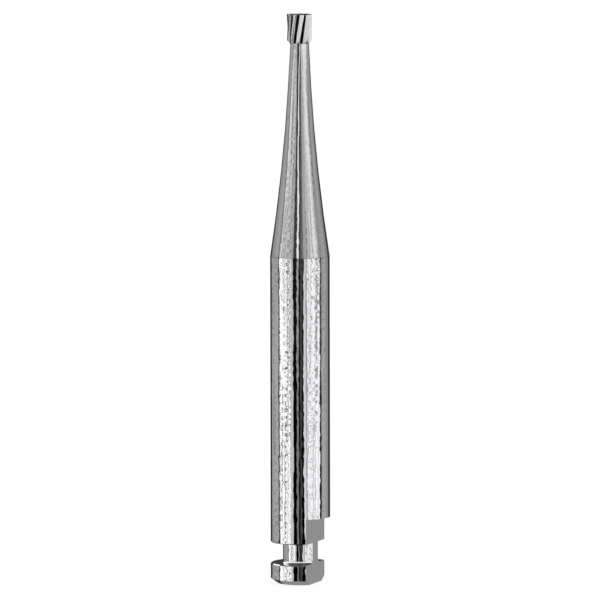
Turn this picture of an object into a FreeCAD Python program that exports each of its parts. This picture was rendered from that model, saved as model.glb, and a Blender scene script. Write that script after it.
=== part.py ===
import FreeCAD, Part
import os
import Sketcher
from FreeCAD import Vector

# Right-angle dental bur: one steel blank, ground to a shank that flares down to a small fluted head.
# The axis is Z, the latch end stands at Z = 0 and the drive flat faces +X.
# Lengths are in millimetres and angles in degrees.
SIZES = {
    "disk_thickness": 0.8,
    "disk_chamfer_width": 0.27,
    "disk_chamfer_rise": 0.19,
    "groove_length": 0.82,
    "groove_diameter": 1.38,
    "groove_root_radius": 0.12,
    "edge_break": 0.035,
    "flat_height": 2.62,
    "flat_across": 1.8,
    "shank_diameter": 2.35,
    "shank_top_height": 12.92,
    "neck_length": 8.36,
    "neck_end_diameter": 0.75,
    "neck_flare_radius": 73.0,
    "head_length": 1.16,
    "head_diameter": 1.0,
    "head_taper": 0.02,
    "head_base_rise": 0.14,
    "head_tip_break": 0.02,
    "tooth_count": 9,
    "tooth_start_angle": -6.0,
    "tooth_face_angle": 3.0,
    "tooth_land_angle": 2.0,
    "flute_floor_angle": 18.0,
    "flute_depth": 0.12,
    "flute_root_radius": 0.03,
    "flute_lead": 16.6,
    "gash_depth": 0.16,
    "gash_face_width": 0.12,
    "gash_back_width": 0.04,
    "gash_end_diameter": 0.2,
    "cutter_overrun": 0.05,
}

# Radii, heights and angles that follow from the sizes
DERIVED = {
    "shank_radius": "=shank_diameter / 2",
    "shank_clear_radius": "=shank_radius + cutter_overrun",
    "groove_radius": "=groove_diameter / 2",
    "groove_top_height": "=disk_thickness + groove_length",
    "flat_offset": "=flat_across - shank_radius",
    "neck_end_radius": "=neck_end_diameter / 2",
    "neck_end_height": "=shank_top_height + neck_length",
    "head_radius": "=head_diameter / 2",
    "head_base_radius": "=head_radius - head_taper / 2",
    "head_base_height": "=neck_end_height + head_base_rise",
    "total_length": "=neck_end_height + head_length",
    "flute_root": "=head_radius - flute_depth",
    "flute_clear_radius": "=head_radius + cutter_overrun",
    "flute_start_height": "=neck_end_height - cutter_overrun",
    "flute_travel": "=head_length + 2 * cutter_overrun",
    "flute_start_angle": "=tooth_start_angle - 360 * (head_length + cutter_overrun) / flute_lead",
    "tooth_back_angle": "=360 / tooth_count - tooth_land_angle",
    "gash_angle": "=tooth_start_angle + flute_floor_angle",
    "gash_reach": "=head_radius - gash_end_diameter / 2",
    "gash_tilt": "=atan(gash_depth / gash_reach) / 1 deg",
    "gash_slant_depth": "=gash_depth / cos(gash_tilt)",
}

doc = FreeCAD.newDocument("dental_bur")
sheet = doc.addObject("Spreadsheet::Sheet", "sizes")
for row, (alias, value) in enumerate({**SIZES, **DERIVED}.items(), start=1):
    sheet.set("A%d" % row, alias.replace("_", " "))
    sheet.set("B%d" % row, str(value))
    sheet.setAlias("B%d" % row, alias)
doc.recompute()

bur = doc.addObject("PartDesign::Body", "bur")
bur.Label = "bur"


def origin_feature(role):
    """One of the body's own origin planes or axes."""
    return next(f for f in bur.Origin.OriginFeatures if f.Role == role)


def new_sketch(name, plane_role):
    sketch = bur.newObject("Sketcher::SketchObject", name)
    sketch.AttachmentSupport = [(origin_feature(plane_role), "")]
    sketch.MapMode = "FlatFace"
    return sketch


def bind(sketch, constraint, name, expression):
    """Adds a named constraint whose value follows an expression of the sheet."""
    number = sketch.addConstraint(constraint)
    sketch.renameConstraint(number, name)
    sketch.setExpression("Constraints." + name, expression)


def hold_coordinate(sketch, kind, edge, vertex, expression):
    """Holds one coordinate of a vertex, measured from the origin of the sketch."""
    value = sketch.evalExpression(expression)
    name = "%s%d" % (kind, edge)
    if value > 0:
        bind(sketch, Sketcher.Constraint(kind, -1, 1, edge, vertex, value), name, expression)
    elif value < 0:
        bind(sketch, Sketcher.Constraint(kind, edge, vertex, -1, 1, -value), name, "-(" + expression + ")")
    else:
        crossed_axis = -2 if kind == "DistanceX" else -1
        sketch.addConstraint(Sketcher.Constraint("PointOnObject", edge, vertex, crossed_axis))


def draw_outline(sketch, corners, arcs=None):
    """Closes an outline through corners, each a pair of expressions of the sheet.

    An arc is given by the number of the corner that it starts from, with its radius and 1 or -1
    for a centre on the left or on the right of the way that the outline runs.
    """
    arcs = arcs or {}
    places = [Vector(sketch.evalExpression(x), sketch.evalExpression(y), 0) for x, y in corners]
    ends = []
    for edge, start in enumerate(places):
        end = places[(edge + 1) % len(places)]
        radius, side = arcs.get(edge, (None, 1))
        ends.append((1, 2) if side == 1 else (2, 1))
        if radius is None:
            sketch.addGeometry(Part.LineSegment(start, end), False)
            continue
        across = Vector(start.y - end.y, end.x - start.x, 0).normalize() * side
        reach = sketch.evalExpression(radius)
        centre_depth = (reach ** 2 - (start.distanceToPoint(end) / 2) ** 2) ** 0.5
        crown = (start + end) * 0.5 - across * (reach - centre_depth)
        sketch.addGeometry(Part.Arc(start, crown, end), False)
    for edge, corner in enumerate(corners):
        before = (edge - 1) % len(corners)
        join = Sketcher.Constraint("Coincident", before, ends[before][1], edge, ends[edge][0])
        sketch.addConstraint(join)
        for coordinate, kind, shared in ((0, "DistanceX", "Vertical"), (1, "DistanceY", "Horizontal")):
            if corner[coordinate] == corners[before][coordinate] and before not in arcs:
                sketch.addConstraint(Sketcher.Constraint(shared, before))
            else:
                hold_coordinate(sketch, kind, edge, ends[edge][0], corner[coordinate])
    for edge, (radius, side) in arcs.items():
        value = sketch.evalExpression(radius)
        bind(sketch, Sketcher.Constraint("Radius", edge, value), "Radius%d" % edge, radius)


def round_corner(sketch, corner, radius):
    """Rounds one corner of an outline and keeps its sharp point as a construction point."""
    value = sketch.evalExpression(radius)
    edges = sketch.GeometryCount
    sketch.fillet(corner, 1, value, True, True)
    bind(sketch, Sketcher.Constraint("Radius", edges, value), "CornerRadius%d" % corner, radius)


def circles_of(feature, radius, heights):
    """Names of a feature's circular edges with this radius at these heights."""
    names = []
    for number, edge in enumerate(feature.Shape.Edges, start=1):
        if not isinstance(edge.Curve, Part.Circle):
            continue
        level = any(abs(edge.Curve.Center.z - height) < 1e-6 for height in heights)
        if level and abs(edge.Curve.Radius - radius) < 1e-6:
            names.append("Edge%d" % number)
    return names


# Turned and ground blank: disk, shank, flared neck and head in one profile
blank_profile = new_sketch("blank_profile", "XZ_Plane")
draw_outline(
    blank_profile,
    [
        ("0", "0"),
        ("sizes.shank_radius - sizes.disk_chamfer_width", "0"),
        ("sizes.shank_radius", "sizes.disk_chamfer_rise"),
        ("sizes.shank_radius", "sizes.shank_top_height"),
        ("sizes.neck_end_radius", "sizes.neck_end_height"),
        ("sizes.head_base_radius", "sizes.head_base_height"),
        ("sizes.head_radius", "sizes.total_length - sizes.head_tip_break"),
        ("sizes.head_radius - sizes.head_tip_break", "sizes.total_length"),
        ("0", "sizes.total_length"),
    ],
    arcs={3: ("sizes.neck_flare_radius", -1)},
)
blank = bur.newObject("PartDesign::Revolution", "blank")
blank.Profile = blank_profile
blank.ReferenceAxis = (blank_profile, ["V_Axis"])
doc.recompute()

# Latch groove, square at the shank and rounded into the disk
groove_profile = new_sketch("groove_profile", "XZ_Plane")
draw_outline(
    groove_profile,
    [
        ("sizes.groove_radius", "sizes.disk_thickness"),
        ("sizes.shank_clear_radius", "sizes.disk_thickness"),
        ("sizes.shank_clear_radius", "sizes.groove_top_height"),
        ("sizes.groove_radius", "sizes.groove_top_height"),
    ],
)
round_corner(groove_profile, 0, "sizes.groove_root_radius")
latch_groove = bur.newObject("PartDesign::Groove", "latch_groove")
latch_groove.Profile = groove_profile
latch_groove.ReferenceAxis = (groove_profile, ["V_Axis"])
doc.recompute()

# The two sharp edges that face each other across the groove are broken
edge_break = bur.newObject("PartDesign::Chamfer", "edge_break")
groove_heights = [sheet.disk_thickness, sheet.groove_top_height]
edge_break.Base = (latch_groove, circles_of(latch_groove, sheet.shank_radius, groove_heights))
edge_break.setExpression("Size", "sizes.edge_break")
doc.recompute()

# Drive flat that turns the bur: it cuts the disk, the bottom of the groove and the end of the shank
flat_profile = new_sketch("flat_profile", "XZ_Plane")
draw_outline(
    flat_profile,
    [
        ("sizes.flat_offset", "-sizes.cutter_overrun"),
        ("sizes.shank_clear_radius", "-sizes.cutter_overrun"),
        ("sizes.shank_clear_radius", "sizes.flat_height"),
        ("sizes.flat_offset", "sizes.flat_height"),
    ],
)
drive_flat = bur.newObject("PartDesign::Pocket", "drive_flat")
drive_flat.Profile = flat_profile
drive_flat.SideType = "Symmetric"
drive_flat.setExpression("Length", "sizes.shank_diameter + 2 * sizes.cutter_overrun")
doc.recompute()

# One flute: the steep cutting face of a tooth, a narrow floor and the flat back of the next tooth.
# Its outline lies square to the axis below the head, and turns with the lead as it rises.
flute_profile = new_sketch("flute_profile", "XY_Plane")
flute_profile.setExpression("AttachmentOffset.Base.z", "sizes.flute_start_height")
flute_profile.setExpression("AttachmentOffset.Rotation.Angle", "sizes.flute_start_angle")
draw_outline(
    flute_profile,
    [
        (
            "sizes.flute_root * cos(sizes.tooth_face_angle)",
            "sizes.flute_root * sin(sizes.tooth_face_angle)",
        ),
        ("sizes.head_radius", "0"),
        ("sizes.flute_clear_radius", "0"),
        (
            "sizes.flute_clear_radius * cos(sizes.tooth_back_angle)",
            "sizes.flute_clear_radius * sin(sizes.tooth_back_angle)",
        ),
        (
            "sizes.head_radius * cos(sizes.tooth_back_angle)",
            "sizes.head_radius * sin(sizes.tooth_back_angle)",
        ),
        (
            "sizes.flute_root * cos(sizes.flute_floor_angle)",
            "sizes.flute_root * sin(sizes.flute_floor_angle)",
        ),
    ],
    arcs={2: ("sizes.flute_clear_radius", 1)},
)
round_corner(flute_profile, 0, "sizes.flute_root_radius")
flute = bur.newObject("PartDesign::SubtractiveHelix", "flute")
flute.Profile = flute_profile
flute.ReferenceAxis = (origin_feature("Z_Axis"), [""])
flute.Mode = "pitch-height-angle"
flute.setExpression("Pitch", "sizes.flute_lead")
flute.setExpression("Height", "sizes.flute_travel")
flute.Angle = 0
doc.recompute()

# One gash of the end teeth: a notch along the root of the flute that runs out towards the axis
gash_profile = new_sketch("gash_profile", "XY_Plane")
gash_profile.setExpression(
    "AttachmentOffset",
    "create(<<placement>>; create(<<vector>>; sizes.head_radius * cos(sizes.gash_angle);"
    " sizes.head_radius * sin(sizes.gash_angle); sizes.total_length - sizes.gash_depth);"
    " create(<<rotation>>; sizes.gash_angle + 90; 0; sizes.gash_tilt + 90))",
)
draw_outline(
    gash_profile,
    [
        ("0", "0"),
        ("2 * sizes.gash_back_width", "2 * sizes.gash_slant_depth"),
        ("-2 * sizes.gash_face_width", "2 * sizes.gash_slant_depth"),
    ],
)
gash = bur.newObject("PartDesign::Pocket", "gash")
gash.Profile = gash_profile
gash.SideType = "Symmetric"
gash.setExpression("Length", "2 * sizes.gash_reach / cos(sizes.gash_tilt)")
doc.recompute()

# The flute and its gash are repeated round the head
teeth = bur.newObject("PartDesign::PolarPattern", "teeth")
teeth.Originals = [flute, gash]
teeth.Axis = (origin_feature("Z_Axis"), [""])
teeth.setExpression("Occurrences", "sizes.tooth_count")
bur.Tip = teeth
doc.recompute()

# Each cut has to leave one sound solid that is smaller than the one before it
for item in doc.Objects:
    if "Invalid" in item.State or "Error" in item.State:
        raise RuntimeError(item.Name + " failed to build")
steps = [blank, latch_groove, edge_break, drive_flat, flute, gash, teeth]
for before, after in zip(steps, steps[1:]):
    if not after.Shape.Volume < before.Shape.Volume:
        raise RuntimeError(after.Name + " cuts nothing")
if bur.Shape.isNull() or not bur.Shape.isValid() or len(bur.Shape.Solids) != 1:
    raise RuntimeError("the bur is not one sound solid")

os.makedirs("parts", exist_ok=True)
bur.Shape.exportStep(os.path.join("parts", bur.Label + ".step"))
print("%s: %.3f mm3, %.2f mm long" % (bur.Label, bur.Shape.Volume, sheet.total_length))
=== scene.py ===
import math
import bpy
from mathutils import Matrix, Vector


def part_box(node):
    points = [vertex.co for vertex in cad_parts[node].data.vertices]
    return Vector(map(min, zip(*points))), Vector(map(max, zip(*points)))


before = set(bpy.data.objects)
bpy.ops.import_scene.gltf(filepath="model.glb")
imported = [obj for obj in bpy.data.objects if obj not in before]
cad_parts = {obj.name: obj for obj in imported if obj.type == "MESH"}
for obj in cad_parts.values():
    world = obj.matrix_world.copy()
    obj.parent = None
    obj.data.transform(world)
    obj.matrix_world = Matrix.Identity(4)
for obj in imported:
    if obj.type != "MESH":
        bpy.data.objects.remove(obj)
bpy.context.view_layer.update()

# The bur: one rod of hardened tool steel, turned, then ground between wheels and tumbled bright.
# It is the CAD solid itself, with the finish of each zone from the latch disk to the teeth.
SHANK_TOP = 12.92e-3
NECK_TOP = 21.28e-3
HEAD_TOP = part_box("bur")[1][2]
RIM_HEIGHT = 0.03e-3
ZONE_BLUR = 0.01e-3


def linear(code):
    """An sRGB hex colour as the linear RGBA that a shader takes."""
    channels = [int(code[i:i + 2], 16) / 255 for i in (1, 3, 5)]
    return [c / 12.92 if c <= 0.04045 else ((c + 0.055) / 1.055) ** 2.4 for c in channels] + [1]


def new_material(name):
    """A material with an empty node tree."""
    material = bpy.data.materials.new(name)
    material.use_nodes = True
    material.node_tree.nodes.clear()
    return material


def add_node(tree, kind, inputs=None, **settings):
    """Adds one node with its settings, and fills its inputs with values or with other nodes' outputs."""
    node = tree.nodes.new(kind)
    for name, value in settings.items():
        setattr(node, name, value)
    for socket, value in (inputs or {}).items():
        if isinstance(value, bpy.types.NodeSocket):
            tree.links.new(value, node.inputs[socket])
        else:
            node.inputs[socket].default_value = value
    return node


# Ground tool steel: a bright neutral grey metal, whose low waves and orange peel break up what it
# mirrors, a little less on the neck. The milled head is duller, with painted shade in its flutes, on its
# cutting edges and round its top edge.
steel = new_material("ground_tool_steel")
tree = steel.node_tree
surface = add_node(tree, "ShaderNodeTexCoord").outputs
place = surface["Object"]
facing = surface["Normal"]
axes = add_node(tree, "ShaderNodeSeparateXYZ", {"Vector": place}).outputs
height = axes["Z"]
# This points round the axis, and is as long as the radius
sideways = add_node(tree, "ShaderNodeVectorMath", {
    0: (0, 0, 1), 1: place}, operation="CROSS_PRODUCT").outputs["Vector"]
radius = add_node(tree, "ShaderNodeVectorMath", {0: sideways}, operation="LENGTH").outputs["Value"]

# Zones along the bur: each is 0 below its height and 1 above it
in_neck = add_node(tree, "ShaderNodeMapRange", {
    "Value": height, "From Min": SHANK_TOP - ZONE_BLUR,
    "From Max": SHANK_TOP + ZONE_BLUR}).outputs["Result"]
in_head = add_node(tree, "ShaderNodeMapRange", {
    "Value": height, "From Min": NECK_TOP, "From Max": NECK_TOP + 2 * ZONE_BLUR}).outputs["Result"]
in_rim = add_node(tree, "ShaderNodeMapRange", {
    "Value": height, "From Min": HEAD_TOP - RIM_HEIGHT,
    "From Max": HEAD_TOP - RIM_HEIGHT + ZONE_BLUR}).outputs["Result"]

# Tumbled is all but the drive flat, which lies in the plane at its offset, below its shoulder
FLAT_OFFSET = 0.625e-3
FLAT_HEIGHT = 2.62e-3
FLAT_TOLERANCE = 0.003e-3
off_flat = add_node(tree, "ShaderNodeMath", {
    0: axes["X"], 1: FLAT_OFFSET}, operation="SUBTRACT").outputs["Value"]
off_flat = add_node(tree, "ShaderNodeMath", {0: off_flat}, operation="ABSOLUTE").outputs["Value"]
beside_flat = add_node(tree, "ShaderNodeMath", {
    0: off_flat, 1: FLAT_TOLERANCE}, operation="GREATER_THAN").outputs["Value"]
above_flat = add_node(tree, "ShaderNodeMath", {
    0: height, 1: FLAT_HEIGHT}, operation="GREATER_THAN").outputs["Value"]
tumbled = add_node(tree, "ShaderNodeMath", {
    0: beside_flat, 1: above_flat}, operation="MAXIMUM").outputs["Value"]

# Faces of the head: its sides face less upwards than its end does, the floors of the flutes lie at
# their root radius, and the cutting faces are turned round the axis
END_RISE = 0.35
SIDE_RISE = 0.25
FLUTE_ROOT_RADIUS = 0.38e-3
FLOOR_FULL = 0.005e-3
FLOOR_REACH = 0.015e-3
BACK_TURN = 0.5
CUTTING_TURN = 0.75
rise = add_node(tree, "ShaderNodeSeparateXYZ", {"Vector": facing}).outputs["Z"]
on_side = add_node(tree, "ShaderNodeMapRange", {
    "Value": rise, "From Min": END_RISE, "From Max": SIDE_RISE}).outputs["Result"]
in_root = add_node(tree, "ShaderNodeMapRange", {
    "Value": radius, "From Min": FLUTE_ROOT_RADIUS + FLOOR_REACH,
    "From Max": FLUTE_ROOT_RADIUS + FLOOR_FULL}).outputs["Result"]
# Where painted shade darkens the flute floors
flute_shade_mask = add_node(tree, "ShaderNodeMath", {
    0: in_root, 1: on_side}, operation="MULTIPLY").outputs["Value"]
turned = add_node(tree, "ShaderNodeVectorMath", {
    0: facing, 1: sideways}, operation="DOT_PRODUCT").outputs["Value"]
turned = add_node(tree, "ShaderNodeMath", {0: turned, 1: radius}, operation="DIVIDE").outputs["Value"]
cutting_face = add_node(tree, "ShaderNodeMapRange", {
    "Value": turned, "From Min": BACK_TURN, "From Max": CUTTING_TURN}).outputs["Result"]
# Where painted shade darkens the head's top edge
rim_shade_mask = add_node(tree, "ShaderNodeMath", {0: in_rim, 1: on_side}, operation="MULTIPLY").outputs["Value"]

# Relief: long low waves from the grinding wheel and orange peel from tumbling, both weaker on the neck.
# Real peel is finer: it is drawn 0.2 mm wide so that it shows. The drive flat is ground last and has none.
WAVE_LENGTH = 0.6e-3
WAVE_WIDTH = 0.2e-3
WAVE_HEIGHT = 0.003e-3
PEEL_SIZE = 0.2e-3
PEEL_HEIGHT = 0.0045e-3
NECK_RELIEF = 0.75
RELIEF_BLEND = 2e-3
wave_place = add_node(tree, "ShaderNodeVectorMath", {
    0: place, 1: (1 / WAVE_WIDTH, 1 / WAVE_WIDTH, 1 / WAVE_LENGTH)}, operation="MULTIPLY").outputs["Vector"]
waves = add_node(tree, "ShaderNodeTexNoise", {
    "Vector": wave_place, "Scale": 1, "Detail": 0}).outputs["Fac"]
waves = add_node(tree, "ShaderNodeMath", {
    0: waves, 1: WAVE_HEIGHT}, operation="MULTIPLY").outputs["Value"]
peel = add_node(tree, "ShaderNodeTexNoise", {
    "Vector": place, "Scale": 1 / PEEL_SIZE, "Detail": 0}).outputs["Fac"]
relief = add_node(tree, "ShaderNodeMath", {
    0: peel, 1: PEEL_HEIGHT, 2: waves}, operation="MULTIPLY_ADD").outputs["Value"]
strength = add_node(tree, "ShaderNodeMapRange", {
    "Value": height, "From Min": SHANK_TOP, "From Max": SHANK_TOP + RELIEF_BLEND,
    "To Min": 1, "To Max": NECK_RELIEF}).outputs["Result"]
strength = add_node(tree, "ShaderNodeMath", {
    0: strength, 1: tumbled}, operation="MULTIPLY").outputs["Value"]
relief = add_node(tree, "ShaderNodeMath", {
    0: relief, 1: strength}, operation="MULTIPLY").outputs["Value"]
bump = add_node(tree, "ShaderNodeBump", {"Height": relief, "Strength": 1, "Distance": 1}).outputs["Normal"]

# Colour: the rod has a fine darker line of painted shade at the shank's top, where it bends into the neck.
# The teeth have bright backs, with painted shade on the cutting faces towards their edges, on the flute
# floors and on the rim.
# In a Mix node, input 0 is the factor, inputs 2 and 3 with output 0 are for numbers, and inputs 6 and 7 with
# output 2 for colours.
ROD = linear("#D8D8DA")
# Painted shade: a darker line where the shank bends into the neck, in place of its dark reflection
SHANK_TOP_SHADE = linear("#B6B6B8")
TOOTH_BACK = linear("#FFFFFF")
CUTTING_FACE = linear("#FFFFFF")
# Painted shade: the cutting faces darken towards their edges
CUTTING_EDGE_SHADE = linear("#242323")
# Painted shade: the flute floors, dark where the teeth hide them
FLUTE_SHADE = linear("#161515")
# Painted shade: a dark band round the head's top edge
RIM_SHADE = linear("#3C3B3B")
SHADE_LINE_CORE = 0.015e-3
SHADE_LINE_REACH = 0.025e-3
EDGE_START_RADIUS = 0.445e-3
EDGE_FULL_RADIUS = 0.46e-3
# The band of painted shade round the shank's top
from_shade_line = add_node(tree, "ShaderNodeMath", {
    0: height, 1: SHANK_TOP}, operation="SUBTRACT").outputs["Value"]
from_shade_line = add_node(tree, "ShaderNodeMath", {0: from_shade_line}, operation="ABSOLUTE").outputs["Value"]
off_shade_line = add_node(tree, "ShaderNodeMapRange", {
    "Value": from_shade_line, "From Min": SHADE_LINE_CORE, "From Max": SHADE_LINE_REACH}).outputs["Result"]
rod_colour = add_node(tree, "ShaderNodeMix", {
    0: off_shade_line, 6: SHANK_TOP_SHADE, 7: ROD}, data_type="RGBA").outputs[2]
# Painted shade on the cutting faces, full at their edges
toward_edge_shade = add_node(tree, "ShaderNodeMapRange", {
    "Value": radius, "From Min": EDGE_START_RADIUS, "From Max": EDGE_FULL_RADIUS}).outputs["Result"]
face_colour = add_node(tree, "ShaderNodeMix", {
    0: toward_edge_shade, 6: CUTTING_FACE, 7: CUTTING_EDGE_SHADE}, data_type="RGBA").outputs[2]
tooth_colour = add_node(tree, "ShaderNodeMix", {
    0: cutting_face, 6: TOOTH_BACK, 7: face_colour}, data_type="RGBA").outputs[2]
flute_colour = add_node(tree, "ShaderNodeMix", {
    0: flute_shade_mask, 6: tooth_colour, 7: FLUTE_SHADE}, data_type="RGBA").outputs[2]
head_colour = add_node(tree, "ShaderNodeMix", {
    0: rim_shade_mask, 6: flute_colour, 7: RIM_SHADE}, data_type="RGBA").outputs[2]
colour = add_node(tree, "ShaderNodeMix", {
    0: in_head, 6: rod_colour, 7: head_colour}, data_type="RGBA").outputs[2]

# Roughness: a bright rod, and a head that is milled dull all round but smoother on its end face
SHANK_ROUGHNESS = 0.05
NECK_ROUGHNESS = 0.09
END_ROUGHNESS = 0.15
TOOTH_ROUGHNESS = 0.7
rod_roughness = add_node(tree, "ShaderNodeMapRange", {
    "Value": in_neck, "To Min": SHANK_ROUGHNESS, "To Max": NECK_ROUGHNESS}).outputs["Result"]
head_roughness = add_node(tree, "ShaderNodeMapRange", {
    "Value": on_side, "To Min": END_ROUGHNESS, "To Max": TOOTH_ROUGHNESS}).outputs["Result"]
roughness = add_node(tree, "ShaderNodeMix", {0: in_head, 2: rod_roughness, 3: head_roughness}).outputs[0]
metal = add_node(tree, "ShaderNodeBsdfPrincipled", {
    "Base Color": colour, "Metallic": 1, "Roughness": roughness, "Normal": bump}).outputs[0]
add_node(tree, "ShaderNodeOutputMaterial", {"Surface": metal})

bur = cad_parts["bur"]
bur.data.materials.clear()
bur.data.materials.append(steel)

# The floor: a plain white sheet of paper under the latch end. It keeps the bur's faint shadow, and is
# left out of the reflections, so that the shank mirrors the light cards along its whole length.
FLOOR_SIDE = 3.0
PAPER = linear("#8A8A8A")
PAPER_GLOW = 0.82


def square(half, height):
    """The four corners of a level square round the bur's axis."""
    return [(-half, -half, height), (half, -half, height), (half, half, height), (-half, half, height)]


def add_object(name, data):
    """Puts a mesh or a camera into the scene."""
    thing = bpy.data.objects.new(name, data)
    bpy.context.scene.collection.objects.link(thing)
    return thing


floor_mesh = bpy.data.meshes.new("floor")
floor_mesh.from_pydata(square(FLOOR_SIDE / 2, 0), [], [(0, 1, 2, 3)])
floor = add_object("floor", floor_mesh)

# White paper: matt. Most of its white is a glow for the rays that see the background, from the camera,
# off a mirror or through glass, so that it is as white as the background and the shadow stays faint.
paper = new_material("white_paper")
tree = paper.node_tree
rays = add_node(tree, "ShaderNodeLightPath").outputs
mirrored = add_node(tree, "ShaderNodeMath", {
    0: rays["Is Glossy Ray"], 1: rays["Is Transmission Ray"]}, operation="MAXIMUM").outputs["Value"]
background_rays = add_node(tree, "ShaderNodeMath", {
    0: rays["Is Camera Ray"], 1: mirrored}, operation="MAXIMUM").outputs["Value"]
glow_strength = add_node(tree, "ShaderNodeMath", {
    0: background_rays, 1: PAPER_GLOW}, operation="MULTIPLY").outputs["Value"]
glow = add_node(tree, "ShaderNodeEmission", {"Strength": glow_strength}).outputs[0]
sheet = add_node(tree, "ShaderNodeBsdfDiffuse", {"Color": PAPER}).outputs[0]
both = add_node(tree, "ShaderNodeAddShader", {0: sheet, 1: glow}).outputs[0]
add_node(tree, "ShaderNodeOutputMaterial", {"Surface": both})
floor_mesh.materials.append(paper)
floor.visible_glossy = False

# The background: plain white all round. It lights the floor and shows past the floor's edge in low
# views, while the metal mirrors the ring of cards instead.
world = bpy.data.worlds.new("white_background")
bpy.context.scene.world = world
world.use_nodes = True
tree = world.node_tree
tree.nodes.clear()
backdrop = add_node(tree, "ShaderNodeBackground", {"Strength": 1}).outputs[0]
add_node(tree, "ShaderNodeOutputWorld", {"Surface": backdrop})

# The light cards: bright panels left and right of the camera, black flags before it and grey flats
# round the back, edge to edge in a closed ring that shows only in the metal. The peel bends the thin
# dark streaks of the panels into the shank's worm-like marks.
CAMERA_AZIMUTH = 21.5
RING_RADIUS = 0.16
RING_BOTTOM = -0.12
RING_SPLIT = 0.069
RING_TOP = 0.16
CARD_STEP = 2.0
BUR_MIDDLE = 0.011
LEVEL_ANGLE = 8
STREAK_LENGTH = 0.035
STREAK_PITCH = 5e-3
STREAK_EDGE = 0.1
BETWEEN_STREAKS = 1.14
UPPER_LEVEL = 1.7
CEILING_LEVEL = 0.12
UNDER_LEVEL = 0.35


def light_material(name, low_level, high_level, streaks=0.0):
    """Glows from one level below the bur to another above it. Streaks run from 0, none, to 1, black."""
    material = new_material(name)
    tree = material.node_tree
    place = add_node(tree, "ShaderNodeTexCoord").outputs["Object"]
    height = add_node(tree, "ShaderNodeSeparateXYZ", {"Vector": place}).outputs["Z"]
    reach = RING_RADIUS * math.tan(math.radians(LEVEL_ANGLE))
    level = add_node(tree, "ShaderNodeMapRange", {
        "Value": height, "From Min": BUR_MIDDLE - reach, "From Max": BUR_MIDDLE + reach,
        "To Min": low_level, "To Max": high_level}).outputs["Result"]
    if streaks:
        # The streaks lie where a cloud, stretched level, passes through its middle value
        stretched = add_node(tree, "ShaderNodeVectorMath", {
            0: place, 1: (1 / STREAK_LENGTH, 1 / STREAK_LENGTH, 1 / STREAK_PITCH)},
            operation="MULTIPLY").outputs["Vector"]
        cloud = add_node(tree, "ShaderNodeTexNoise", {
            "Vector": stretched, "Scale": 1, "Detail": 0}).outputs["Fac"]
        off_middle = add_node(tree, "ShaderNodeMath", {
            0: cloud, 1: 0.5}, operation="SUBTRACT").outputs["Value"]
        off_middle = add_node(tree, "ShaderNodeMath", {0: off_middle}, operation="ABSOLUTE").outputs["Value"]
        lit = add_node(tree, "ShaderNodeMapRange", {
            "Value": off_middle, "From Max": STREAK_EDGE,
            "To Min": 1 - streaks, "To Max": BETWEEN_STREAKS},
            interpolation_type="SMOOTHSTEP").outputs["Result"]
        level = add_node(tree, "ShaderNodeMath", {0: level, 1: lit}, operation="MULTIPLY").outputs["Value"]
    light = add_node(tree, "ShaderNodeEmission", {"Strength": level}).outputs[0]
    add_node(tree, "ShaderNodeOutputMaterial", {"Surface": light})
    return material


def stand(name, points, faces, material):
    """Stands a card in the scene, seen only in the metal."""
    mesh = bpy.data.meshes.new(name)
    mesh.from_pydata(points, [], faces)
    mesh.materials.append(material)
    piece = add_object(name, mesh)
    piece.visible_camera = False
    piece.visible_diffuse = False
    piece.visible_shadow = False


def card(name, start, end, low_level, high_level, streaks=0.0, bottom=RING_BOTTOM, top=RING_SPLIT):
    """A curved card between two angles in degrees, counted to the right from the camera."""
    steps = max(1, round((end - start) / CARD_STEP))
    points = []
    for i in range(steps + 1):
        angle = math.radians(CAMERA_AZIMUTH + start + (end - start) * i / steps)
        x = RING_RADIUS * math.sin(angle)
        y = -RING_RADIUS * math.cos(angle)
        points += [(x, y, bottom), (x, y, top)]
    faces = [(2 * i, 2 * i + 2, 2 * i + 3, 2 * i + 1) for i in range(steps)]
    stand(name, points, faces, light_material(name, low_level, high_level, streaks))


def lid(name, height, level):
    """A level card that closes the ring above or below."""
    stand(name, square(RING_RADIUS, height), [(0, 1, 2, 3)], light_material(name, level, level))


# Left of the camera, from the back to the front
card("behind_left", -165, -141, 0.03, 0.08)
card("outer_left", -141, -118, 0.46, 0.33, streaks=0.35)
card("flat_left", -118, -93, 0.48, 0.46, streaks=0.35)
card("frame_left", -93, -87, 0.03, 0.2)
card("panel_left_outer", -87, -74, 1.6, 0.95, streaks=1.0)
card("panel_left", -74, -52, 1.3, 0.85, streaks=1.0)
card("panel_left_inner", -52, -37, 1.3, 0.8, streaks=1.0)
card("edge_left", -37, -27, 0.75, 0.5)

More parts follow.
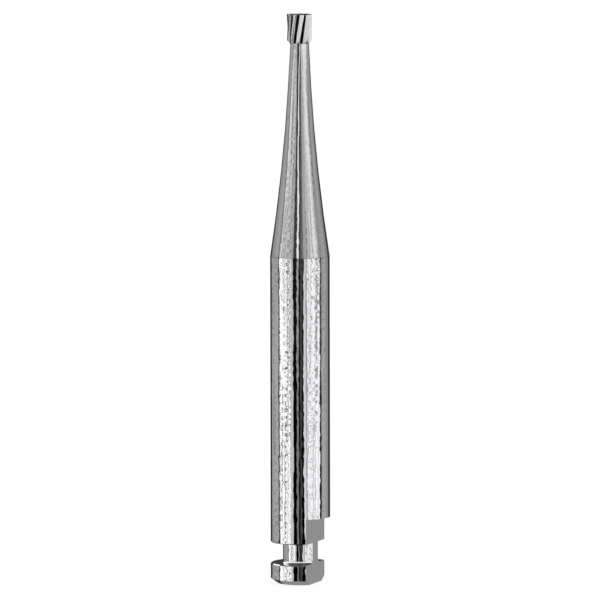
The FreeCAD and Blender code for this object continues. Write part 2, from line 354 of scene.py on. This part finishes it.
# Round the camera
card("flag_left", -27, -13, 0.0, 0.05)
card("slot", -13, -6, 0.25, 1.25)
card("flag_middle", -6, 1, 0.01, 0.03)
card("slot_right", 1, 6.5, 0.08, 0.14)
card("flag_right", 6.5, 13.2, 0.0, 0.22)
card("sliver_right", 13.2, 21, 0.95, 0.5)

# Right of the camera, from the front to the back
card("edge_right", 21, 27, 0.5, 0.5)
card("panel_right_inner", 27, 40, 1.25, 0.65, streaks=1.0)
card("panel_right", 40, 74, 1.2, 1.0, streaks=0.75)
card("panel_right_outer", 74, 82, 1.2, 0.55, streaks=0.75)
card("frame_right", 82, 90, 0.03, 0.35)
card("flat_right", 90, 118, 0.47, 0.45, streaks=0.35)
card("outer_right", 118, 142, 0.375, 0.3)
card("behind_right", 142, 165, 0.03, 0.08)

# Behind the bur, above the ring and below it
card("behind_middle", 165, 195, 0.06, 0.06)
card("upper_panel", -180, 180, UPPER_LEVEL, UPPER_LEVEL, bottom=RING_SPLIT, top=RING_TOP)
lid("ceiling", RING_TOP, CEILING_LEVEL)
lid("under_card", RING_BOTTOM, UNDER_LEVEL)

# The camera: 240 mm away with a long lens, a little above the bur and turned towards its drive flat,
# as the photo was taken. Its angles and its lens are fitted to the bur's edges in the photo.
CAMERA_DISTANCE = 0.24
CAMERA_ELEVATION = 5.35
CAMERA_ROLL = -0.12
AIM = Vector((0, 0, 11.19e-3))
LENS_LENGTH = 366.2
SENSOR_WIDTH = 36
across = math.radians(CAMERA_AZIMUTH)
up = math.radians(CAMERA_ELEVATION)
back = Vector((math.sin(across) * math.cos(up), -math.cos(across) * math.cos(up), math.sin(up)))
turn = (-back).to_track_quat("-Z", "Y").to_matrix() @ Matrix.Rotation(math.radians(CAMERA_ROLL), 3, "Z")
camera_data = bpy.data.cameras.new("camera")
camera_data.lens = LENS_LENGTH
camera_data.sensor_width = SENSOR_WIDTH
camera_data.clip_start = 0.01
camera_data.clip_end = 10
camera = add_object("camera", camera_data)
camera.matrix_world = Matrix.Translation(AIM + back * CAMERA_DISTANCE) @ turn.to_4x4()
bpy.context.scene.camera = camera
bpy.context.scene.view_settings.view_transform = "Standard"
